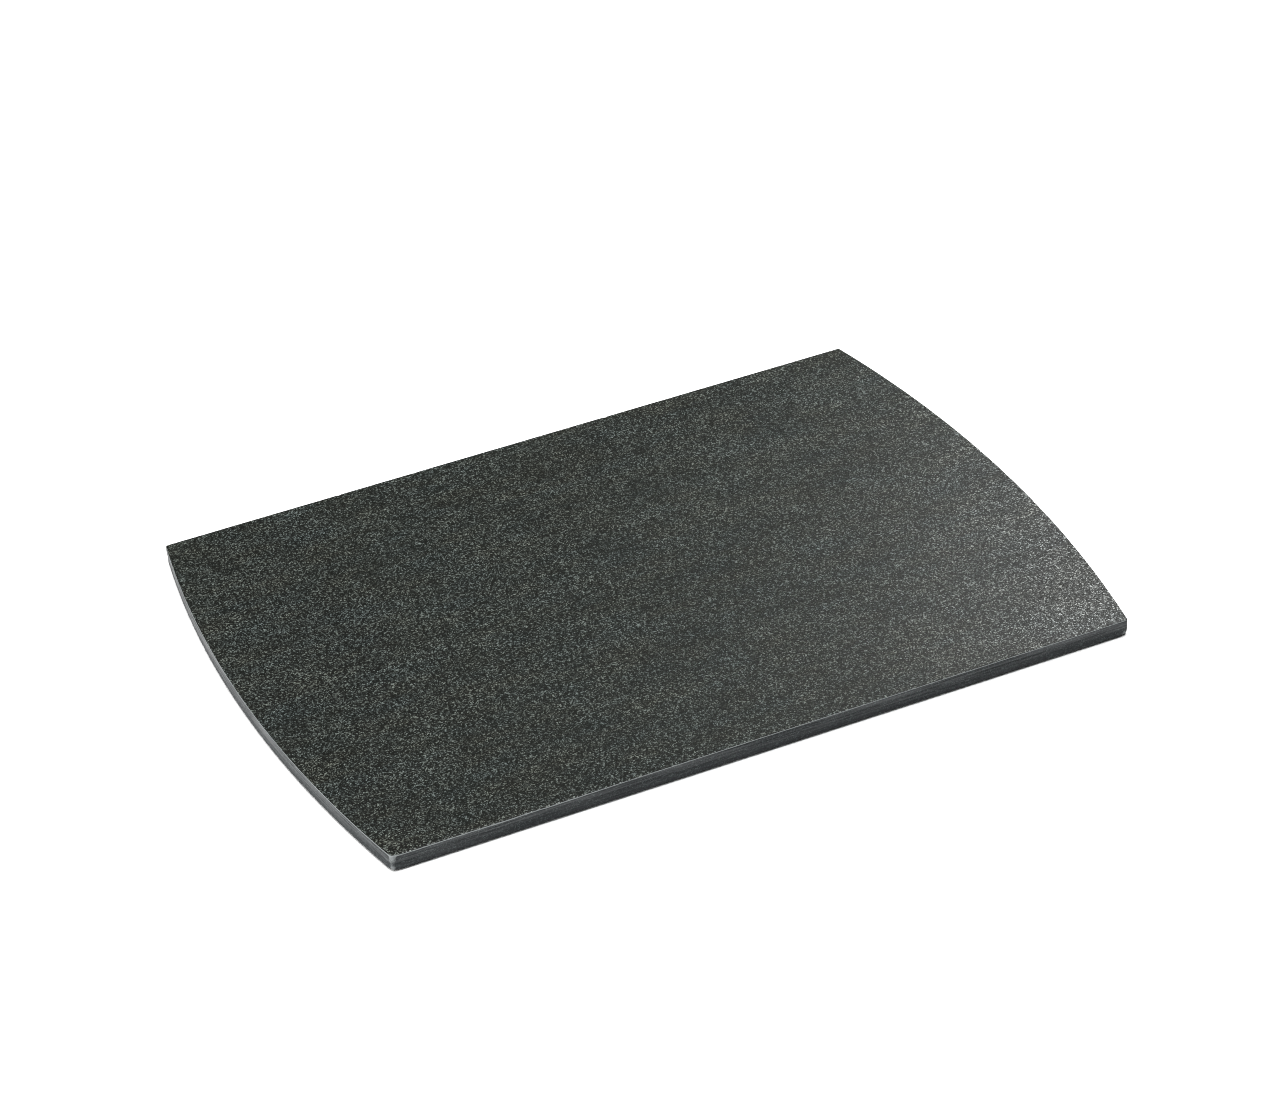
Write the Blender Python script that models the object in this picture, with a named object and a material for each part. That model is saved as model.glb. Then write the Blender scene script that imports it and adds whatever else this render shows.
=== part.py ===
"""Basalt massage stone: one flat slab, sawn and honed from a single block of basalt.

Metres, +Z up. The origin is the middle of the underside, X runs along the two straight sides, and the
two ends bow outwards. The stone is warmed and laid flat, so it has no feet, holes or fittings.
"""

import math

import bmesh
import bpy
from mathutils import Vector

# Driving dimensions
LENGTH = 0.400  # overall, crown to crown of the bowed ends
WIDTH = 0.300  # across the straight sides
THICKNESS = 0.0085
END_RADIUS = 0.800  # of each bowed end, seen from above
CORNER_RADIUS = 0.0025  # of the four upright corners, seen from above
TOP_ARRIS = 0.0006  # rounding where the top face meets the edge
BOTTOM_ARRIS = 0.0012  # rounding where the underside meets the edge

# Fineness of the round stretches
END_STEPS = 14  # along half of one bowed end
CORNER_STEPS = 6  # round one upright corner
TOP_STEPS = 3
BOTTOM_STEPS = 4

STONE_COLOUR = (0.055, 0.060, 0.057, 1.0)
STONE_ROUGHNESS = 0.55


def clear_scene():
    for obj in list(bpy.data.objects):
        bpy.data.objects.remove(obj, do_unlink=True)


def basalt_material():
    material = bpy.data.materials.new("honed_basalt")
    material.use_nodes = True
    shader = material.node_tree.nodes["Principled BSDF"]
    shader.inputs["Base Color"].default_value = STONE_COLOUR
    shader.inputs["Roughness"].default_value = STONE_ROUGHNESS
    shader.inputs["Metallic"].default_value = 0.0
    return material


def arc(centre, radius, start, end, steps):
    """Points and outward directions along an arc, both ends included."""
    turns = [start + (end - start) * i / steps for i in range(steps + 1)]
    directions = [Vector((math.cos(a), math.sin(a))) for a in turns]
    return [(centre + radius * d, d) for d in directions]


def quarter_outline():
    """The outline from the crown of the +X end to the far end of the +X +Y corner's rounding.

    The corner's circle touches the bowed end from inside and the straight side, so the outline
    has no kink.
    """
    end_centre = Vector((LENGTH / 2 - END_RADIUS, 0.0))
    reach = END_RADIUS - CORNER_RADIUS
    rise = WIDTH / 2 - CORNER_RADIUS
    corner_centre = Vector((end_centre.x + math.sqrt(reach**2 - rise**2), rise))
    turn = math.asin(rise / reach)
    bowed_end = arc(end_centre, END_RADIUS, 0.0, turn, END_STEPS)
    corner = arc(corner_centre, CORNER_RADIUS, turn, math.pi / 2, CORNER_STEPS)
    return bowed_end + corner[1:]


def outline():
    """The whole outline, anticlockwise from above, as (point, outward direction)."""
    quarter = quarter_outline()
    back = [(Vector((-p.x, p.y)), Vector((-d.x, d.y))) for p, d in reversed(quarter)]
    half = quarter + back
    front = [(Vector((p.x, -p.y)), Vector((d.x, -d.y))) for p, d in reversed(half[1:-1])]
    return half + front


def edge_profile():
    """The edge from the underside up to the top face, as (inset from the outline, height)."""
    quarter_turn = math.pi / 2
    profile = []
    for i in range(BOTTOM_STEPS + 1):
        a = quarter_turn * i / BOTTOM_STEPS
        profile.append((BOTTOM_ARRIS * (1 - math.sin(a)), BOTTOM_ARRIS * (1 - math.cos(a))))
    for i in range(TOP_STEPS + 1):
        a = quarter_turn * i / TOP_STEPS
        height = THICKNESS - TOP_ARRIS * (1 - math.sin(a))
        profile.append((TOP_ARRIS * (1 - math.cos(a)), height))
    return profile


def slab_mesh():
    """One closed body: a ring of points for each height of the edge, joined up, with flat faces."""
    plan = outline()
    bm = bmesh.new()
    rings = []
    for inset, height in edge_profile():
        ring = [bm.verts.new((*(point - inset * direction), height)) for point, direction in plan]
        rings.append(ring)
    for low, high in zip(rings, rings[1:]):
        for i, corner in enumerate(low):
            nxt = (i + 1) % len(low)
            bm.faces.new((corner, low[nxt], high[nxt], high[i]))
    bm.faces.new(list(reversed(rings[0])))
    bm.faces.new(rings[-1])
    mesh = bpy.data.meshes.new("stone_slab")
    bm.to_mesh(mesh)
    bm.free()
    mesh.shade_smooth()
    mesh.set_sharp_from_angle(angle=math.radians(35))
    return mesh


def add_stone_slab():
    slab = bpy.data.objects.new("stone_slab", slab_mesh())
    slab.data.materials.append(basalt_material())
    bpy.context.scene.collection.objects.link(slab)
    return slab


clear_scene()
add_stone_slab()
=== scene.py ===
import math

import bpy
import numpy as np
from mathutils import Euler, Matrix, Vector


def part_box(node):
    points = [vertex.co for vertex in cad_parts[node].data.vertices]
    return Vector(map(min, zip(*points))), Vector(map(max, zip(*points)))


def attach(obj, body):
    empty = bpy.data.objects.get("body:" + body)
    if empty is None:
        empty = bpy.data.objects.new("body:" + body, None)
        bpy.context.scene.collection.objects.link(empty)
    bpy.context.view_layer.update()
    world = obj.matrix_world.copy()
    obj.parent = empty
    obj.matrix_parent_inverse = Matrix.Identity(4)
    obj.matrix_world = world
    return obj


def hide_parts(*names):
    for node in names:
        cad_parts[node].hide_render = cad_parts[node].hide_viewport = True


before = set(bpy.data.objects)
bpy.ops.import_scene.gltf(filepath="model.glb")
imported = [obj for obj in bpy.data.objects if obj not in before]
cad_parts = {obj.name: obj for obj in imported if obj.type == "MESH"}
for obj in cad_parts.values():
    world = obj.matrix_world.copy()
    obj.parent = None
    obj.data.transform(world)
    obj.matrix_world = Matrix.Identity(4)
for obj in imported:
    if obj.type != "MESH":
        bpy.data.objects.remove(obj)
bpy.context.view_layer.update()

# %% [markdown]
# # A honed basalt massage stone
#
# The real object is one piece: a flat slab sawn from a block of basalt. Its two long sides are straight,
# its two short ends bow outwards, and every edge has been ground and then eased by hand. It is warmed
# and laid flat. The plain CAD slab is already loaded, so this lesson makes the finished stone that
# stands in its place: a finer mesh with worn arrises, and two finishes for one kind of rock.
#
# The first cell imports what the lesson needs and keeps the box of the CAD model. The finished stone
# has to have the same size.

low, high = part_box("stone_slab")
LENGTH = high.x - low.x
WIDTH = high.y - low.y
THICKNESS = high.z - low.z
print(f"CAD slab: {LENGTH * 1000:.1f} x {WIDTH * 1000:.1f} x {THICKNESS * 1000:.1f} mm")

# %% [markdown]
# ## The camera
#
# The camera comes first, because every later choice is judged through it. A flat thing is best shown
# with a long lens from some way off, so that the straight sides stay nearly parallel.
# A camera could be aimed with a Track To constraint. Here its turn is worked out from three plain
# angles instead, because the slight roll, the tilt of the horizon, is then one more number.

# %% Camera
LENS = 125.0  # mm
DISTANCE = 2.167  # from the point that it looks at
AIM = Vector((0.0179, 0.0330, 0.0))
AZIMUTH = math.radians(-21.98)  # left of the long front side
ELEVATION = math.radians(32.05)
ROLL = math.radians(-4.86)


def add_camera():
    """A camera that looks at AIM, with +Y as the direction of azimuth 0."""
    camera = bpy.data.objects.new("camera", bpy.data.cameras.new("camera"))
    camera.data.lens = LENS
    turned = Euler((math.pi / 2 - ELEVATION, 0.0, AZIMUTH)).to_matrix().to_4x4()
    back = turned @ Vector((0.0, 0.0, 1.0))
    rolled = turned @ Matrix.Rotation(ROLL, 4, "Z")
    camera.matrix_world = Matrix.Translation(AIM + DISTANCE * back) @ rolled
    bpy.context.scene.collection.objects.link(camera)
    bpy.context.scene.camera = camera
    return camera


camera = add_camera()
print("camera at", [round(value, 3) for value in camera.matrix_world.translation])

# %% [markdown]
# ## Helpers for edit mode
#
# Every operator acts on all that is selected. So each step starts from nothing selected, and picks its
# faces or edges in code, by where they lie. `pick_edges` does that: it takes a test, and selects the
# edges whose two ends pass it together.

# %% Picking faces and edges
TOUCH = 1e-5  # two places nearer than this are the same place


def start_clean():
    if bpy.context.mode != "OBJECT":
        bpy.ops.object.mode_set(mode="OBJECT")
    bpy.ops.object.select_all(action="DESELECT")


def pick_edges(stone, test):
    """Selects only the edges whose end points a and b pass test(a, b), and returns how many did."""
    bpy.ops.mesh.select_mode(type="EDGE")
    bpy.ops.mesh.select_all(action="DESELECT")
    bpy.ops.object.mode_set(mode="OBJECT")
    points = stone.data.vertices
    chosen = [e for e in stone.data.edges if test(*(points[i].co for i in e.vertices))]
    for edge in chosen:
        edge.select = True
    bpy.ops.object.mode_set(mode="EDIT")
    return len(chosen)


def pick_faces(stone, test):
    """Selects only the faces that pass test(face), and returns how many did."""
    bpy.ops.mesh.select_mode(type="FACE")
    bpy.ops.mesh.select_all(action="DESELECT")
    bpy.ops.object.mode_set(mode="OBJECT")
    chosen = [face for face in stone.data.polygons if test(face)]
    for face in chosen:
        face.select = True
    bpy.ops.object.mode_set(mode="EDIT")
    return len(chosen)


# %% [markdown]
# ## The outline: two bowed ends and two straight sides
#
# A mason marks the ends of such a slab with a long radius and cuts to the line. The mesh is made the
# same way: a big circle is added with its rim on the crown of one end, and bisected down to the short
# arc between the two long sides. A mirror copies that arc to the other end. A curve object could do
# this as well, but the circle gives exact arcs with evenly spaced points.

# %% The arc of one end
END_RADIUS = 0.800
CIRCLE_POINTS = 480  # one every 10.5 mm round the big circle


def add_end_arc():
    start_clean()
    bpy.ops.mesh.primitive_circle_add(
        vertices=CIRCLE_POINTS, radius=END_RADIUS, location=(LENGTH / 2 - END_RADIUS, 0, 0)
    )
    stone = bpy.context.object
    stone.name = "honed_stone"
    bpy.ops.object.transform_apply(location=True, rotation=False, scale=False)
    bpy.ops.object.mode_set(mode="EDIT")
    for normal in (Vector((0, 1, 0)), Vector((0, -1, 0)), Vector((-1, 0, 0))):
        reach = WIDTH / 2 if normal.y else 0.0
        bpy.ops.mesh.select_all(action="SELECT")
        bpy.ops.mesh.bisect(plane_co=normal * reach, plane_no=normal, clear_outer=True)
    bpy.ops.object.mode_set(mode="OBJECT")
    return stone


stone = add_end_arc()
print("one end:", len(stone.data.vertices), "points")

# %% [markdown]
# The mirrored arc and the first one are open chains. Each straight side is one edge between their end
# points, and Fill then closes the loop with a single many-sided face.

# %% Both ends, the straight sides and the face
def close_outline(stone):
    mirror = stone.modifiers.new("other_end", "MIRROR")
    mirror.use_axis = (True, False, False)
    mirror.use_mirror_merge = False
    bpy.ops.object.modifier_apply(modifier=mirror.name)
    for side in (1, -1):
        points = stone.data.vertices
        ends = [v for v in points if abs(v.co.y - side * WIDTH / 2) < TOUCH]
        for vertex in points:
            vertex.select = vertex in ends
        bpy.ops.object.mode_set(mode="EDIT")
        bpy.ops.mesh.select_mode(type="VERT")
        bpy.ops.mesh.edge_face_add()
        bpy.ops.mesh.select_all(action="DESELECT")
        bpy.ops.object.mode_set(mode="OBJECT")
    bpy.ops.object.mode_set(mode="EDIT")
    bpy.ops.mesh.select_all(action="SELECT")
    bpy.ops.mesh.edge_face_add()
    bpy.ops.object.mode_set(mode="OBJECT")


close_outline(stone)
print("outline:", len(stone.data.edges), "edges and", len(stone.data.polygons), "face")

# %% [markdown]
# ## From a face to a slab
#
# Extruding the face upwards gives the slab its thickness. The four upright corners are bevelled at
# once, while the outline still has few points: a bevel works best where the faces beside it are longer
# than the bevel is wide. The bevel's offset is the distance from the sharp corner to where the round
# begins, which is the radius times the tangent of half the turn.

# %% Thickness and upright corners
CORNER_RADIUS = 0.0016
CORNER_STEPS = 7


def raise_slab(stone):
    start_clean()
    stone.select_set(True)
    bpy.context.view_layer.objects.active = stone
    bpy.ops.object.mode_set(mode="EDIT")
    bpy.ops.mesh.select_all(action="SELECT")
    bpy.ops.mesh.extrude_region_move(TRANSFORM_OT_translate={"value": (0, 0, THICKNESS)})
    bpy.ops.mesh.select_all(action="SELECT")
    bpy.ops.mesh.normals_make_consistent(inside=False)

    def upright_corner(a, b):
        return abs(a.z - b.z) > THICKNESS / 2 and abs(abs(a.y) - WIDTH / 2) < TOUCH

    found = pick_edges(stone, upright_corner)
    turn = math.acos(WIDTH / 2 / END_RADIUS)
    bpy.ops.mesh.bevel(
        offset=CORNER_RADIUS * math.tan(turn / 2), segments=CORNER_STEPS, affect="EDGES"
    )
    bpy.ops.object.mode_set(mode="OBJECT")
    return found


print("corners rounded:", raise_slab(stone))

# %% [markdown]
# ## The arrises
#
# A mason calls the sharp edge between two faces an arris. On a stone that is handled it is always
# eased: the top one is rubbed down a little, the bottom one more, so that the slab can be picked up.
# Each is a bevel round a whole rim. The top and bottom faces then get insets, which are narrow rings
# of faces just inside the arris. Later the wear of the edge fades out across them. The arris and its
# rings together have to be narrower than the radius of the upright corners, or they would fold over.

# %% Rounded arrises and their rings
TOP_ARRIS = 0.00045
BOTTOM_ARRIS = 0.0012
TOP_ROWS = 5
BOTTOM_ROWS = 6
RING_WIDTHS = (0.0003, 0.0005, 0.0002)
UNDER_RING = 0.0003
LEVEL = 0.999  # a face whose normal is more upright than this is level


def ease_arrises(stone):
    bpy.ops.object.mode_set(mode="EDIT")
    for height, offset, rows in (
        (THICKNESS, TOP_ARRIS, TOP_ROWS),
        (0.0, BOTTOM_ARRIS, BOTTOM_ROWS),
    ):
        pick_edges(stone, lambda a, b: abs(a.z - height) < TOUCH and abs(b.z - height) < TOUCH)
        bpy.ops.mesh.bevel(offset=offset, segments=rows, affect="EDGES")
    pick_faces(stone, lambda face: face.normal.z > LEVEL and len(face.vertices) > 4)
    for width in RING_WIDTHS:
        bpy.ops.mesh.inset(thickness=width)
    pick_faces(stone, lambda face: face.normal.z < -LEVEL and len(face.vertices) > 4)
    bpy.ops.mesh.inset(thickness=UNDER_RING)
    bpy.ops.object.mode_set(mode="OBJECT")


ease_arrises(stone)
print("after the arrises:", len(stone.data.polygons), "faces")

# %% [markdown]
# ## Fine columns round the rim
#
# Worn edges need points close together, but only round the rim: the flat faces can stay two large
# faces. So those two are deleted for the moment, and the shell that is left is cut into columns by
# subdividing the edges that run along it. Subdivide makes at most 100 cuts at once, and each straight
# side is one long edge, so the cutting is repeated, always on the longest edges, until none is left
# that is longer than a column should be. Filling the two openings brings the flats back.

# %% Subdivide along and across the rim
COLUMN = 0.0008  # about how wide one column of faces may be
MOST_CUTS = 100
BAND_CUTS = 5


def cut_columns(stone):
    """Cuts the edges that run along the rim, the longest first."""
    while True:
        points = stone.data.vertices
        spans = [[points[i].co for i in edge.vertices] for edge in stone.data.edges]
        longest = max((a - b).length for a, b in spans if abs(a.z - b.z) < TOUCH)
        if longest < 1.5 * COLUMN:
            return
        bpy.ops.object.mode_set(mode="EDIT")
        pick_edges(stone, lambda a, b: abs(a.z - b.z) < TOUCH and (a - b).length > 0.9 * longest)
        cuts = min(MOST_CUTS, math.ceil(longest / COLUMN) - 1)
        bpy.ops.mesh.subdivide(number_cuts=cuts)
        bpy.ops.object.mode_set(mode="OBJECT")
        print(f"  edges of {longest * 1000:.1f} mm: {cuts} cuts")


def refine_rim(stone):
    bpy.ops.object.mode_set(mode="EDIT")
    pick_faces(stone, lambda face: len(face.vertices) > 4)
    bpy.ops.mesh.delete(type="ONLY_FACE")
    bpy.ops.object.mode_set(mode="OBJECT")
    cut_columns(stone)
    bpy.ops.object.mode_set(mode="EDIT")
    band = THICKNESS - TOP_ARRIS - BOTTOM_ARRIS
    pick_edges(stone, lambda a, b: abs(a.z - b.z) > 0.9 * band)
    bpy.ops.mesh.subdivide(number_cuts=BAND_CUTS)
    bpy.ops.mesh.select_all(action="DESELECT")
    bpy.ops.mesh.select_non_manifold()
    bpy.ops.mesh.edge_face_add()
    bpy.ops.mesh.select_all(action="SELECT")
    bpy.ops.mesh.normals_make_consistent(inside=False)
    bpy.ops.object.mode_set(mode="OBJECT")


refine_rim(stone)
flats = [face for face in stone.data.polygons if len(face.vertices) > 4]
print("after the columns:", len(stone.data.polygons), "faces,", len(flats), "of them flats")

# %% [markdown]
# ## How deep a point lies inside the outline
#
# Wear begins at the outline and fades inwards, so the distance of a point from the outline decides how
# worn it is. Seen from above, the stone is where two big discs and the strip between the straight
# sides overlap. The depth of a point is then the least of its distances to those three borders.

# %% Depth inside the outline
WEAR_REACH = min(TOP_ARRIS + sum(RING_WIDTHS[:-1]), BOTTOM_ARRIS)  # leaves the last rings level


def mesh_points(stone):
    points = np.empty(len(stone.data.vertices) * 3, np.float32)
    stone.data.vertices.foreach_get("co", points)
    return points.reshape(-1, 3)


def smoothstep(values):
    t = np.clip(values, 0.0, 1.0)
    return t * t * (3 - 2 * t)


def depth_inside(points):
    """Distance in plan from each point to the outline, in metres."""
    disc = LENGTH / 2 - END_RADIUS
    right = END_RADIUS - np.hypot(points[:, 0] - disc, points[:, 1])
    left = END_RADIUS - np.hypot(points[:, 0] + disc, points[:, 1])
    sides = WIDTH / 2 - np.abs(points[:, 1])
    return np.minimum(np.minimum(right, left), sides)


fresh = mesh_points(stone)
depth = depth_inside(fresh)
print(f"points within {WEAR_REACH * 1000:.1f} mm of the outline:", int((depth < WEAR_REACH).sum()))

# %% [markdown]
# ## Wearing the edges down
#
# Wear could be cut with small boolean shapes, or sculpted. A Displace modifier does a whole rim at
# once: it moves each point along its normal, by as much as a procedural texture says, and a vertex
# group keeps it to one place. Three textures are used. A slow cloud makes the easing of both arrises
# uneven, as hand work is. A cloud with a colour ramp, black nearly everywhere, lets only its few peaks
# dig in: those are the nicks. A third cloud rubs down one stretch of the front arris, beside the left
# corner, where the stone has been dragged and set down most. That stretch is deep compared with the
# rounding, and points pushed that far along their normals would cross, so they are moved straight down.
# The lower half of each upright corner is knocked most of all, so the slow cloud is used there again,
# much deeper.
#
# Every weight has reached 0 by the innermost ring of faces, so that ring stays level. The flat inside
# it is one single face, and a point moved on its border, or leaning, would show as a streak right
# across the stone.

# %% Where the stone wears
CORNER_REACH = 0.00442  # how far from an upright corner its wear goes
CORNER_FADE = 0.0034  # over how much of that it fades
LOW_PART = 0.6  # how much of the height counts as the lower part of a corner
RUBBED_FROM, RUBBED_TO = -0.186, -0.085  # X along the front arris
RUBBED_FADE = 0.030
LEAST_WEIGHT = 0.001  # a weight below this is left out


def near_corner(points, depth):
    """1 at the four upright corners, and 0 beyond CORNER_REACH from them or WEAR_REACH inside."""
    corner_x = LENGTH / 2 - END_RADIUS + math.sqrt(END_RADIUS**2 - (WIDTH / 2) ** 2)
    gap = np.hypot(np.abs(points[:, 0]) - corner_x, np.abs(points[:, 1]) - WIDTH / 2)
    return smoothstep((CORNER_REACH - gap) / CORNER_FADE) * smoothstep(2 - 2 * depth / WEAR_REACH)


def wear_weights(points, depth):
    """How much each point belongs to the arrises, the rubbed stretch and the lower corners."""
    rim = smoothstep(1 - depth / WEAR_REACH)
    top = rim * smoothstep((points[:, 2] - THICKNESS) / (4 * TOP_ARRIS) + 1)
    bottom = rim * smoothstep(1 - points[:, 2] / (2 * BOTTOM_ARRIS))
    along = np.minimum(points[:, 0] - RUBBED_FROM, RUBBED_TO - points[:, 0])
    front = points[:, 1] < 0
    side = np.abs(points[:, 1]) > WIDTH / 2 - 1.5 * WEAR_REACH
    rubbed = top * front * side * smoothstep(along / RUBBED_FADE + 0.5)
    low_part = 1 - smoothstep(points[:, 2] / (LOW_PART * THICKNESS))
    corners = near_corner(points, depth) * low_part
    return {
        "top_arris": top,
        "bottom_arris": bottom,
        "rubbed_stretch": rubbed,
        "lower_corners": corners,
    }


weights = wear_weights(fresh, depth)
for name, values in weights.items():
    group = stone.vertex_groups.new(name=name)
    for index in np.flatnonzero(values > LEAST_WEIGHT):
        group.add([int(index)], float(values[index]), "REPLACE")
    print(name, "has", int((values > LEAST_WEIGHT).sum()), "points")

# %% Displace modifiers, applied one after the other
EASING_DEPTH, EASING_SIZE = 0.00014, 0.018
NICK_DEPTH, NICK_SIZE = 0.00028, 0.0024
RUBBED_DEPTH, RUBBED_SIZE = 0.00060, 0.0120
CORNER_DEPTH = 0.0018
NICK_START = 0.62  # how high the cloud must be before a nick begins


def cloud_texture(name, size, start=0.0):
    """A cloud of the given size in metres, black below start."""
    texture = bpy.data.textures.new(name, "CLOUDS")
    texture.noise_scale = size
    texture.use_color_ramp = True
    dark, light = texture.color_ramp.elements
    dark.position, dark.color = start, (0, 0, 0, 1)
    light.position, light.color = 1.0, (1, 1, 1, 1)
    return texture


def wear_down(stone, group, texture, depth, direction="NORMAL"):
    modifier = stone.modifiers.new(texture.name, "DISPLACE")
    modifier.vertex_group = group
    modifier.texture = texture
    modifier.direction = direction
    modifier.mid_level = 0.0
    modifier.strength = -depth
    bpy.ops.object.modifier_apply(modifier=modifier.name)


easing = cloud_texture("easing", EASING_SIZE)
nicks = cloud_texture("nicks", NICK_SIZE, NICK_START)
rubbing = cloud_texture("rubbing", RUBBED_SIZE)
for group in ("top_arris", "bottom_arris"):
    wear_down(stone, group, easing, EASING_DEPTH)
    wear_down(stone, group, nicks, NICK_DEPTH)
wear_down(stone, "rubbed_stretch", rubbing, RUBBED_DEPTH, "Z")
wear_down(stone, "lower_corners", easing, CORNER_DEPTH)
lost = np.linalg.norm(mesh_points(stone) - fresh, axis=1)
print(f"deepest wear {lost.max() * 1000:.2f} mm, {int((lost > 0.0003).sum())} points over 0.3 mm")

# %% [markdown]
# ## Chips knocked out one by one
#
# A few chips are bigger than the even wear, and each has its own place, so they are made one at a time
# with proportional editing: one point of the arris is picked and pushed inwards and down, and its
# neighbours follow, less and less with distance. The reach of a chip also ends before the last ring.

# %% Chips
CHIPS = (
    # X, Y, reach, depth
    (0.052, 0.150, 0.0011, 0.0003),
    (-0.121, -0.150, 0.0011, 0.0004),
    (-0.158, -0.150, 0.0009, 0.0005),
    (0.083, -0.150, 0.0010, 0.0003),
    (0.1997, 0.020, 0.0011, 0.0003),
    (-0.094, 0.150, 0.0011, 0.0003),
)


def knock_chip(stone, x, y, reach, depth):
    nearest = np.linalg.norm(mesh_points(stone) - (x, y, THICKNESS), axis=1).argmin()
    bpy.ops.object.mode_set(mode="EDIT")
    bpy.ops.mesh.select_mode(type="VERT")
    bpy.ops.mesh.select_all(action="DESELECT")
    bpy.ops.object.mode_set(mode="OBJECT")
    stone.data.vertices[int(nearest)].select = True
    inwards = Vector((-x, -y, 0)) if abs(y) < 0.9 * WIDTH / 2 else Vector((0, -y, 0))
    push = (inwards.normalized() + Vector((0, 0, -1))).normalized() * depth
    bpy.ops.object.mode_set(mode="EDIT")
    bpy.ops.transform.translate(
        value=push,
        use_proportional_edit=True,
        proportional_edit_falloff="SMOOTH",
        proportional_size=reach,
    )
    bpy.ops.object.mode_set(mode="OBJECT")


for chip in CHIPS:
    knock_chip(stone, *chip)
lost = np.linalg.norm(mesh_points(stone) - fresh, axis=1)
print(f"after the chips: deepest wear {lost.max() * 1000:.2f} mm")

# %% [markdown]
# ## What the materials need to know
#
# A material reads attributes, one number for each point. `arris` is 1 along the rounding of the top
# edge and soon fades to 0 on both sides of it; the pale line that it gives is partly rubbed powder and
# partly a painted highlight. The second attribute says how much stone a point has lost, so that the
# colour of the wear falls exactly where the shape is worn. A painted highlight is added to it at the
# front-left upright corner, which has lost little. The vertex groups have done their work and are
# removed.

# %% Attributes and smooth shading
WORN_FULLY = 0.0005  # this much lost counts as 1
ARRIS_LINE = 0.00046  # from the sharp edge to where the pale line, partly a painted highlight, has ended
ARRIS_FADE = 0.00024
FACE_SHARE = 1.6  # how much narrower the pale line is on the top face than on the band
HIGHLIGHT_FROM = 0.8  # the share of the height above which the painted corner highlight is full
SHARP_ANGLE = math.radians(40)  # edges that turn by more than this stay sharp


def write_attribute(stone, name, values):
    attribute = stone.data.attributes.new(name, "FLOAT", "POINT")
    attribute.data.foreach_set("value", values.astype(np.float32))
    print(f"{name}: mean {values.mean():.3f}, highest {values.max():.3f}")


stone.vertex_groups.clear()
from_arris = np.maximum(FACE_SHARE * depth, THICKNESS - fresh[:, 2])
# The pale line along the top arris is partly rubbed powder and partly a painted highlight.
write_attribute(stone, "arris", smoothstep((ARRIS_LINE - from_arris) / ARRIS_FADE))
# Painted highlight: the front-left upright corner is added to the wear attribute, paler towards its top,
# though it has lost little stone.
front_left = (fresh[:, 0] < 0) & (fresh[:, 1] < 0)
upper_part = smoothstep(fresh[:, 2] / (HIGHLIGHT_FROM * THICKNESS))
painted_corner_highlight = near_corner(fresh, depth) * front_left * upper_part
write_attribute(stone, "worn_and_painted_highlight", np.clip(lost / WORN_FULLY + painted_corner_highlight, 0, 1))
bpy.ops.object.shade_smooth_by_angle(angle=SHARP_ANGLE)

# %% [markdown]
# ## Shader helpers
#
# Both finishes are built from nodes. `node` adds one node and fills its inputs, either with a value or
# with a link from another node. `new_group` starts a node group with named inputs and outputs. The
# others are short names for the nodes that come up again and again.

# %% Helpers for nodes
def node(tree, kind, inputs=(), **settings):
    """Adds a node; inputs are pairs of a socket's name or number and its value or link."""
    made = tree.nodes.new(kind)
    for name, value in settings.items():
        setattr(made, name, value)
    for name, value in inputs:
        if isinstance(value, bpy.types.NodeSocket):
            tree.links.new(value, made.inputs[name])
        else:
            made.inputs[name].default_value = value
    return made


def maths(tree, operation, first, second=0.0):
    return node(tree, "ShaderNodeMath", ((0, first), (1, second)), operation=operation).outputs[0]


def vector_maths(tree, operation, first, second):
    """A vector made of two, or a number if the operation is a dot product."""
    made = node(tree, "ShaderNodeVectorMath", ((0, first), (1, second)), operation=operation)
    return made.outputs["Value" if operation == "DOT_PRODUCT" else "Vector"]


def rescale(tree, value, low_in, high_in, low_out=0.0, high_out=1.0, kind="SMOOTHSTEP"):
    """Maps a value from one range to another, held at both ends."""
    inputs = enumerate((value, low_in, high_in, low_out, high_out))
    return node(tree, "ShaderNodeMapRange", inputs, interpolation_type=kind).outputs["Result"]


def noise(tree, vector, scale, detail=2.0, rough=0.5):
    inputs = (("Vector", vector), ("Scale", scale), ("Detail", detail), ("Roughness", rough))
    return node(tree, "ShaderNodeTexNoise", inputs)


def mix_colour(tree, factor, first, second):
    """Input 0 of a colour Mix node is its factor, and 6 and 7 are its two colours."""
    inputs = ((0, factor), (6, first), (7, second))
    return node(tree, "ShaderNodeMix", inputs, data_type="RGBA").outputs[2]


# %% Helpers for node groups and materials
def new_group(name, inputs, outputs):
    """A node group with a Vector input, the given inputs with defaults, and outputs of numbers."""
    tree = bpy.data.node_groups.new(name, "ShaderNodeTree")
    tree.interface.new_socket("Vector", in_out="INPUT", socket_type="NodeSocketVector")
    for title, default in inputs.items():
        socket = tree.interface.new_socket(title, in_out="INPUT", socket_type="NodeSocketFloat")
        socket.default_value = default
    for title in outputs:
        tree.interface.new_socket(title, in_out="OUTPUT", socket_type="NodeSocketFloat")
    return tree, tree.nodes.new("NodeGroupInput").outputs, tree.nodes.new("NodeGroupOutput").inputs


def place_group(tree, group, vector, values):
    """Adds a node that stands for a group, and returns its outputs."""
    inputs = (("Vector", vector), *values.items())
    return node(tree, "ShaderNodeGroup", inputs, node_tree=group).outputs


def bump(tree, height, distance, strength):
    inputs = (("Strength", strength), ("Distance", distance), ("Height", height))
    return node(tree, "ShaderNodeBump", inputs).outputs[0]


def new_material(name):
    """A material, its node tree, the inputs of its Principled BSDF and its Object coordinates."""
    material = bpy.data.materials.new(name)
    material.use_nodes = True
    tree = material.node_tree
    place = tree.nodes.new("ShaderNodeTexCoord").outputs["Object"]
    return material, tree, tree.nodes["Principled BSDF"].inputs, place


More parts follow.
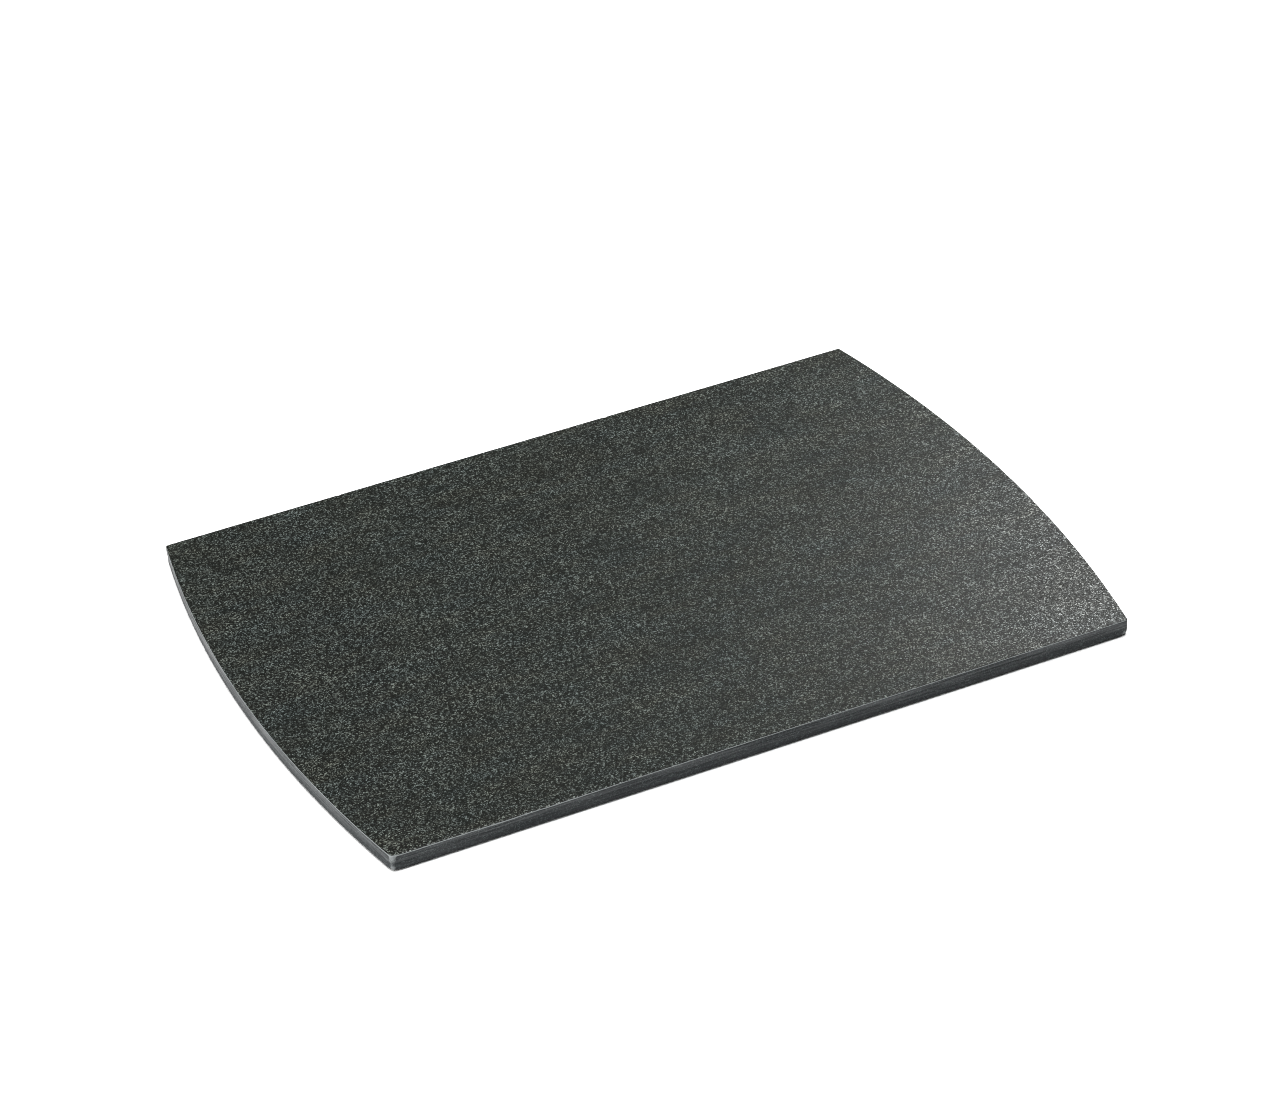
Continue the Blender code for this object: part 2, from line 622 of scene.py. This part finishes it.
# %% [markdown]
# ## The rock: pale grains in a near-black ground
#
# Basalt is lava that cooled with fine crystals in it. Honing cuts through them, so the surface shows
# pale flecks under a millimetre across on a greenish-black ground. A Voronoi texture gives cells of
# that size, each with a random colour of its own, and one channel of that colour, raised to a power,
# says how pale the grain is: the higher the power, the rarer the pale ones. Noise bends the cells
# first, so that they don't look like a honeycomb. Each cut grain also leans its own way: `Height` rises
# across the cell in a direction taken from its colour, so that neighbours catch the light differently.
# Both finishes place the same group, because they are one rock.

# %% Node group: basalt grain
GREY = (0.5, 0.5, 0.5)  # the mean of a random colour
BEND = 1.2  # how far noise bends the cells, in grain sizes
DOME = (0.3, 1.0, 1.0, 0.4)  # a grain is 1 out to 0.3 of its size and fades to 0.4 at its border


def make_grain():
    inputs = {"Grain Size": 0.001, "Rarity": 4.0}
    tree, given, result = new_group("basalt_grain", inputs, ("Pale", "Ground", "Height"))
    per_metre = maths(tree, "DIVIDE", 1.0, given["Grain Size"])
    bend = noise(tree, given["Vector"], per_metre, 1.0).outputs["Color"]
    around = vector_maths(tree, "SUBTRACT", bend, GREY)
    inputs = (("Vector", around), ("Scale", maths(tree, "MULTIPLY", given["Grain Size"], BEND)))
    shift = node(tree, "ShaderNodeVectorMath", inputs, operation="SCALE").outputs[0]
    bent = vector_maths(tree, "ADD", given["Vector"], shift)
    cells = node(tree, "ShaderNodeTexVoronoi", (("Vector", bent), ("Scale", per_metre)))
    chance = node(tree, "ShaderNodeSeparateColor", (("Color", cells.outputs["Color"]),)).outputs
    pale = maths(tree, "POWER", chance[0], given["Rarity"])
    dome = rescale(tree, cells.outputs["Distance"], *DOME)
    tree.links.new(maths(tree, "MULTIPLY", pale, dome), result["Pale"])
    tree.links.new(chance[1], result["Ground"])
    from_middle = vector_maths(tree, "SUBTRACT", bent, cells.outputs["Position"])
    lean = vector_maths(tree, "SUBTRACT", cells.outputs["Color"], GREY)
    slope = vector_maths(tree, "DOT_PRODUCT", from_middle, lean)
    tree.links.new(maths(tree, "MULTIPLY", slope, per_metre), result["Height"])
    return tree


# %% [markdown]
# ## Clouds
#
# The grains aren't spread evenly. Where the lava had more of them the stone is lighter, so patches one
# to five centimetres wide drift over it, drawn out a little along the block. Noise at two sizes gives
# that drift as one number. The shift only chooses which stretch of the endless noise the stone shows.

# %% Node group: clouds
CLOUD_SHIFT = (0.83, 0.09, 0.017)
CLOUD_STRETCH = (0.55, 1.4, 1.0)  # less than 1 draws the clouds out along that axis
FINER = 4.5  # how many times smaller the fine clouds are
USUAL_NOISE = (0.3, 0.7)  # noise seldom leaves this range, so it is spread to 0 and 1


def make_clouds():
    tree, given, result = new_group("stone_clouds", {"Cloud Size": 0.03, "Fine Share": 0.4}, ("Cloud",))
    per_metre = maths(tree, "DIVIDE", 1.0, given["Cloud Size"])
    inputs = (("Vector", given["Vector"]), ("Location", CLOUD_SHIFT), ("Scale", CLOUD_STRETCH))
    drawn = node(tree, "ShaderNodeMapping", inputs).outputs[0]
    wide = rescale(tree, noise(tree, drawn, per_metre, 2.0).outputs["Fac"], *USUAL_NOISE, kind="LINEAR")
    near = maths(tree, "MULTIPLY", per_metre, FINER)
    small = rescale(tree, noise(tree, drawn, near, 3.0).outputs["Fac"], *USUAL_NOISE, kind="LINEAR")
    inputs = ((0, given["Fine Share"]), (2, wide), (3, small))
    both = node(tree, "ShaderNodeMix", inputs).outputs[0]
    tree.links.new(both, result["Cloud"])
    return tree


# %% [markdown]
# ## Grinding streaks
#
# The side band is ground with a wheel that runs along it and leaves fine streaks parallel to the edge.
# Noise that is squeezed hard in Z and stretched in X and Y draws such lines. They change with height
# far more than with anything else, so they follow the straight sides and the bowed ends alike.

# %% Node group: grinding streaks
def make_streaks():
    inputs = {"Line Height": 0.0005, "Line Length": 0.03}
    tree, given, result = new_group("grinding_streaks", inputs, ("Streaks",))
    across = maths(tree, "DIVIDE", 1.0, given["Line Height"])
    along = maths(tree, "DIVIDE", 1.0, given["Line Length"])
    scale = node(tree, "ShaderNodeCombineXYZ", ((0, along), (1, along), (2, across))).outputs[0]
    drawn = vector_maths(tree, "MULTIPLY", given["Vector"], scale)
    lines = noise(tree, drawn, 1.0, 3.0, 0.6).outputs["Fac"]
    tree.links.new(rescale(tree, lines, *USUAL_NOISE, kind="LINEAR"), result["Streaks"])
    return tree


# %% [markdown]
# ## Edge wear and painted highlights
#
# Rubbed stone goes pale, because its grains are bruised to powder. The same pale colour also paints
# highlights: the pale line along the top arris is partly powder and partly a painted highlight, and the
# front-left upright corner carries a painted highlight. This group makes one mask of the two attributes.
# Noise is added before the cut-off, so the border of the pale strip wanders.

# %% Node group: edge wear and painted highlights
WANDER_SCALE = 700.0  # per metre, so the border wanders over about a millimetre and a half
WEAR_SOFTNESS = 0.4


def make_wear_and_highlight():
    inputs = {"From": 0.7, "Worn And Highlight Gain": 0.6, "Unevenness": 0.5}
    tree, given, result = new_group("edge_wear_and_highlight", inputs, ("Wear And Highlight",))
    arris = node(tree, "ShaderNodeAttribute", attribute_name="arris").outputs["Fac"]
    worn_and_painted_highlight = node(tree, "ShaderNodeAttribute", attribute_name="worn_and_painted_highlight").outputs["Fac"]
    uneven = noise(tree, given["Vector"], WANDER_SCALE, 3.0).outputs["Fac"]
    wander = maths(tree, "SUBTRACT", uneven, 0.5)
    level = maths(tree, "ADD", arris, maths(tree, "MULTIPLY", worn_and_painted_highlight, given["Worn And Highlight Gain"]))
    level = maths(tree, "ADD", level, maths(tree, "MULTIPLY", wander, given["Unevenness"]))
    high = maths(tree, "ADD", given["From"], WEAR_SOFTNESS)
    tree.links.new(rescale(tree, level, given["From"], high), result["Wear And Highlight"])
    return tree


grain, clouds, streaks, wear_and_highlight = make_grain(), make_clouds(), make_streaks(), make_wear_and_highlight()
print("node groups:", [group.name for group in (grain, clouds, streaks, wear_and_highlight)])

# %% [markdown]
# ## Finish one: the honed face
#
# Honing stops short of polishing, so the face is even to the touch and has a soft sheen without a
# mirror image. Its colour is a dark ground with pale grains, and the clouds decide how strongly the
# grains show. Ground and grains both drift a little in hue. The ground is glassy rock dulled by the
# honing, and the harder grains take a polish, so the shader's coat, a clear gloss over the base, is
# turned on by the grains alone. With the lean of the grains that makes the sheen sparkle.

# %% Material: honed face
GREEN_BLACK = (0.0022, 0.0036, 0.0026, 1)
BROWN_BLACK = (0.0050, 0.0044, 0.0026, 1)
GROUND_LIGHT = (0.0048, 0.0060, 0.0050, 1)
GRAIN_COOL = (0.151, 0.185, 0.181, 1)
GRAIN_WARM = (0.172, 0.187, 0.155, 1)
# Pale powder of rubbed stone, and also a painted highlight on the top arris line and the front-left
# upright corner.
POWDER_AND_PAINTED_HIGHLIGHT = (0.185, 0.198, 0.200, 1)
DRIFT = {"Cloud Size": 0.03, "Fine Share": 0.45}
DRIFT_RANGE = (0.60, 1.28)  # how strongly the grains show, from the thinnest cloud to the thickest
TINT = {"Cloud Size": 0.017, "Fine Share": 0.3}
HONED_GRAIN = {"Grain Size": 0.00056, "Rarity": 5.6}
HONED_WEAR_AND_HIGHLIGHT = {"From": 0.48, "Worn And Highlight Gain": 0.8, "Unevenness": 0.4}
HONED_ROUGHNESS = (0.45, 0.36)  # of the ground and of the palest grains
HONED_SPECULAR = 0.10
COAT_ROUGHNESS = 0.34
GRAIN_TILT = 0.00018  # metres of bump across a grain


def honed_face():
    material, tree, shader, place = new_material("honed_face")
    drift = place_group(tree, clouds, place, DRIFT)["Cloud"]
    tint = place_group(tree, clouds, place, TINT)["Cloud"]
    rock = place_group(tree, grain, place, HONED_GRAIN)
    black = mix_colour(tree, tint, GREEN_BLACK, BROWN_BLACK)
    ground = mix_colour(tree, rock["Ground"], black, GROUND_LIGHT)
    strength = rescale(tree, drift, 0.0, 1.0, *DRIFT_RANGE, "LINEAR")
    share = maths(tree, "MULTIPLY", rock["Pale"], strength)
    flecks = mix_colour(tree, tint, GRAIN_COOL, GRAIN_WARM)
    speckled = mix_colour(tree, share, ground, flecks)
    # The pale mask holds rubbed wear and painted highlights on the top arris and the front-left corner.
    rubbed = place_group(tree, wear_and_highlight, place, HONED_WEAR_AND_HIGHLIGHT)["Wear And Highlight"]
    tree.links.new(mix_colour(tree, rubbed, speckled, POWDER_AND_PAINTED_HIGHLIGHT), shader["Base Color"])
    roughness = rescale(tree, rock["Pale"], 0.0, 1.0, *HONED_ROUGHNESS)
    tree.links.new(roughness, shader["Roughness"])
    shader["Specular IOR Level"].default_value = HONED_SPECULAR
    tree.links.new(maths(tree, "MINIMUM", share, 1.0), shader["Coat Weight"])
    shader["Coat Roughness"].default_value = COAT_ROUGHNESS
    tree.links.new(bump(tree, rock["Height"], GRAIN_TILT, 1.0), shader["Normal"])
    return material


# %% [markdown]
# ## Finish two: the ground edge
#
# The side band is coarser work: the same rock, ground but never honed. Powder left in its pores veils
# the grains and turns it a little bluer, and it carries the streaks of the wheel. The streaks are
# multiplied by a number that grows with height. In the colour that is painted shade, darker towards the
# bottom; in the roughness and the coat it is the light polish that the wheel and many hands gave the
# top.

# %% Material: ground edge
BAND_DARK = (0.006, 0.008, 0.009, 1)
BAND_LIGHT = (0.020, 0.024, 0.027, 1)
WHEEL_STREAKS = {"Line Height": 0.0008, "Line Length": 0.035}
GROUND_GRAIN = {"Grain Size": 0.0005, "Rarity": 4.0}
GROUND_WEAR_AND_HIGHLIGHT = {"From": 0.50, "Worn And Highlight Gain": 0.8, "Unevenness": 0.4}
BOTTOM_POLISH_AND_SHADE = 0.15  # what is left of the streaks at the bottom of the band, where the colour is painted darker as shade
VEILED = 0.30  # how much of the grains shows through the powder
GROUND_ROUGHNESS = (0.62, 0.48)  # between streaks and on them
GROUND_SPECULAR = 0.15
STREAK_COAT = (0.05, 0.8)  # the coat between streaks and on them
BAND_COAT_ROUGHNESS = 0.45
STREAK_BUMP = 0.00006
GRAIN_BUMP_SHARE = 0.4


def ground_edge():
    material, tree, shader, place = new_material("ground_edge")
    up = node(tree, "ShaderNodeSeparateXYZ", (("Vector", place),)).outputs["Z"]
    # Painted shade: the streaks, and with them the band's colour, fade to a small share at the bottom,
    # so the band is darker there. Up high the same number also makes the band smoother and turns on the
    # coat.
    polish_and_painted_shade = rescale(tree, up, 0.1 * THICKNESS, THICKNESS, BOTTOM_POLISH_AND_SHADE, 1.0, "LINEAR")
    drawn = place_group(tree, streaks, place, WHEEL_STREAKS)["Streaks"]
    lines = maths(tree, "MULTIPLY", drawn, polish_and_painted_shade)
    rock = place_group(tree, grain, place, GROUND_GRAIN)
    band = mix_colour(tree, lines, BAND_DARK, BAND_LIGHT)
    flecked = mix_colour(tree, maths(tree, "MULTIPLY", rock["Pale"], VEILED), band, GRAIN_COOL)
    # The pale mask holds rubbed wear and painted highlights on the top arris and the front-left corner.
    rubbed = place_group(tree, wear_and_highlight, place, GROUND_WEAR_AND_HIGHLIGHT)["Wear And Highlight"]
    tree.links.new(mix_colour(tree, rubbed, flecked, POWDER_AND_PAINTED_HIGHLIGHT), shader["Base Color"])
    tree.links.new(rescale(tree, lines, 0.0, 1.0, *GROUND_ROUGHNESS), shader["Roughness"])
    shader["Specular IOR Level"].default_value = GROUND_SPECULAR
    tree.links.new(rescale(tree, lines, 0.0, 0.8, *STREAK_COAT), shader["Coat Weight"])
    shader["Coat Roughness"].default_value = BAND_COAT_ROUGHNESS
    height = maths(tree, "ADD", lines, maths(tree, "MULTIPLY", rock["Height"], GRAIN_BUMP_SHARE))
    tree.links.new(bump(tree, height, STREAK_BUMP, 0.6), shader["Normal"])
    return material


# %% [markdown]
# ## Which face wears which finish
#
# The band is ground, and the two flats with their rings are honed. Each arris has been rubbed along
# with the flat beside it, so only its outer half counts as ground. A face is honed when its middle lies
# deeper inside the outline than half that arris.

# %% Give the finishes to the faces
def dress(stone):
    stone.data.materials.append(honed_face())
    stone.data.materials.append(ground_edge())
    middles = np.array([face.center for face in stone.data.polygons])
    arris = np.where(middles[:, 2] > THICKNESS / 2, TOP_ARRIS, BOTTOM_ARRIS)
    ground = (depth_inside(middles) < arris / 2).astype(np.int32)
    stone.data.polygons.foreach_set("material_index", ground)
    return int(ground.sum())


print("faces with the ground edge:", dress(stone), "of", len(stone.data.polygons))

# %% [markdown]
# ## A map for textures
#
# In this scene the patterns come from nodes and need no unwrapping. A copy for games or the web would
# need them baked into one square picture, and a UV map says where each face lies in it. Smart UV Project
# would give the top and the underside the same room. Here the map is written from the points' own
# places instead, so that the top face gets nearly the whole width. The edge is laid out in four strips
# above it, one for each side, and the underside, which nobody sees, is kept small.

# %% Write the map
MAP_SCALE = 2.325  # how much of the map's width one metre of stone takes
MAP_MARGIN = 0.01
STRIPS_FROM, STRIP_STEP = 0.73, 0.03
UNDER_FROM, UNDER_SHARE = 0.86, 0.19
FACING = 0.7  # a normal with more Z than this faces up, or down


def write_map(stone):
    mesh = stone.data
    corners = np.empty(len(mesh.loops), np.int32)
    mesh.loops.foreach_get("vertex_index", corners)
    x, y, z = mesh_points(stone)[corners].T
    x, y = x + LENGTH / 2, y + WIDTH / 2
    sizes = [face.loop_total for face in mesh.polygons]
    normals = np.repeat(np.array([face.normal for face in mesh.polygons]), sizes, axis=0)
    end = np.abs(normals[:, 0]) > np.abs(normals[:, 1])
    strip = np.where(end, 1 + (normals[:, 0] > 0), 3 * (normals[:, 1] > 0))
    across = np.where(end, y, x) * MAP_SCALE
    up = z * MAP_SCALE + STRIPS_FROM + STRIP_STEP * strip
    top, under = normals[:, 2] > FACING, normals[:, 2] < -FACING
    across[top] = x[top] * MAP_SCALE
    up[top] = y[top] * MAP_SCALE + MAP_MARGIN
    across[under] = x[under] * MAP_SCALE * UNDER_SHARE
    up[under] = y[under] * MAP_SCALE * UNDER_SHARE + UNDER_FROM
    for layer in list(mesh.uv_layers):
        mesh.uv_layers.remove(layer)
    layer = mesh.uv_layers.new(name="OFBake")
    places = np.column_stack((across + MAP_MARGIN, up)).astype(np.float32)
    layer.uv.foreach_set("vector", places.ravel())
    return places.min(axis=0), places.max(axis=0)


print("the map reaches", *write_map(stone))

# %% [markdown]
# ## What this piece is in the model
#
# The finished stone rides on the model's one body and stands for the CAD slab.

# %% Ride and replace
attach(stone, "root")
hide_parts("stone_slab")
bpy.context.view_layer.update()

# %% [markdown]
# ## Stage: a pale floor and soft light
#
# A wide pale floor lies a hair below the stone. Dark stone shows mostly what it reflects, so the light
# is placed by what each face mirrors. The sun with a very wide angle is a white ceiling, which keeps
# the floor pale all over. The top face mirrors what stands behind it, as high above the floor as the
# camera is on this side, so a soft box there on the right gives the sheen that grows to the right. The
# left end mirrors the pale floor, and a second soft box on the left helps it.

# %% Floor
FLOOR_SIZE = 12.0
FLOOR_GAP = 0.0002
FLOOR_WHITE = (0.92, 0.92, 0.92, 1)
FLOOR_ROUGHNESS = 0.9


def add_floor():
    start_clean()
    bpy.ops.mesh.primitive_plane_add(size=FLOOR_SIZE, location=(0, 0, -FLOOR_GAP))
    floor = bpy.context.object
    floor.name = "floor"
    material, _, shader, _ = new_material("pale_floor")
    shader["Base Color"].default_value = FLOOR_WHITE
    shader["Roughness"].default_value = FLOOR_ROUGHNESS
    floor.data.materials.append(material)
    return floor


print("stage:", add_floor().name)

# %% Lights
CEILING_STRENGTH = 4.2
CEILING_ANGLE = math.radians(36)
SOFT_BOXES = (
    # name, place, aim, width, height, watts
    ("left_box", (-1.15, -0.20, 0.35), (0.0, 0.0, 0.0), 1.0, 0.5, 12.8),
    ("sheen_box", (0.67, 0.44, 0.50), (0.20, -0.10, 0.0), 0.4, 0.25, 6.1),
)


def add_light(name, kind, place, aim, power):
    light = bpy.data.lights.new(name, kind)
    light.energy = power
    lamp = bpy.data.objects.new(name, light)
    lamp.location = place
    lamp.rotation_euler = (Vector(aim) - Vector(place)).to_track_quat("-Z", "Y").to_euler()
    bpy.context.scene.collection.objects.link(lamp)
    return light


def add_softbox(name, place, aim, width, height, power):
    light = add_light(name, "AREA", place, aim, power)
    light.shape = "RECTANGLE"
    light.size, light.size_y = width, height


ceiling = add_light("ceiling", "SUN", (0, 0, 2), (0, 0, 0), CEILING_STRENGTH)
ceiling.angle = CEILING_ANGLE
for soft_box in SOFT_BOXES:
    add_softbox(*soft_box)
print("lights:", sorted(light.name for light in bpy.data.lights))

# %% [markdown]
# The world fills the rest with a dim even light. The camera sees it as white instead, through a Light
# Path node, so that a low view has a plain background.
#
# The last settings are about the picture. The Standard view transform shows colours as they are, where
# the default would turn the white floor grey. The filter width says how far each sample is spread, and
# a narrow one keeps fine grain crisp. The denoiser is led by a plain image of the surface, and by
# default it cleans that image first, which would wipe out grains this small. So that step is off.

# %% World
WHITE = (1, 1, 1, 1)
ROOM_LIGHT = 0.08
SEEN_WHITE = 1.0
FILTER_WIDTH = 1.0


def light_room():
    world = bpy.data.worlds.new("studio")
    bpy.context.scene.world = world
    world.use_nodes = True
    tree = world.node_tree
    room = tree.nodes["Background"]
    room.inputs["Color"].default_value = WHITE
    room.inputs["Strength"].default_value = ROOM_LIGHT
    seen = node(tree, "ShaderNodeBackground", ((0, WHITE), (1, SEEN_WHITE)))
    camera_ray = node(tree, "ShaderNodeLightPath").outputs["Is Camera Ray"]
    inputs = ((0, camera_ray), (1, room.outputs[0]), (2, seen.outputs[0]))
    both = node(tree, "ShaderNodeMixShader", inputs)
    tree.links.new(both.outputs[0], tree.nodes["World Output"].inputs["Surface"])


light_room()
bpy.context.scene.view_settings.view_transform = "Standard"
bpy.context.scene.cycles.filter_width = FILTER_WIDTH
bpy.context.scene.cycles.denoising_prefilter = "NONE"
print("room light", ROOM_LIGHT)
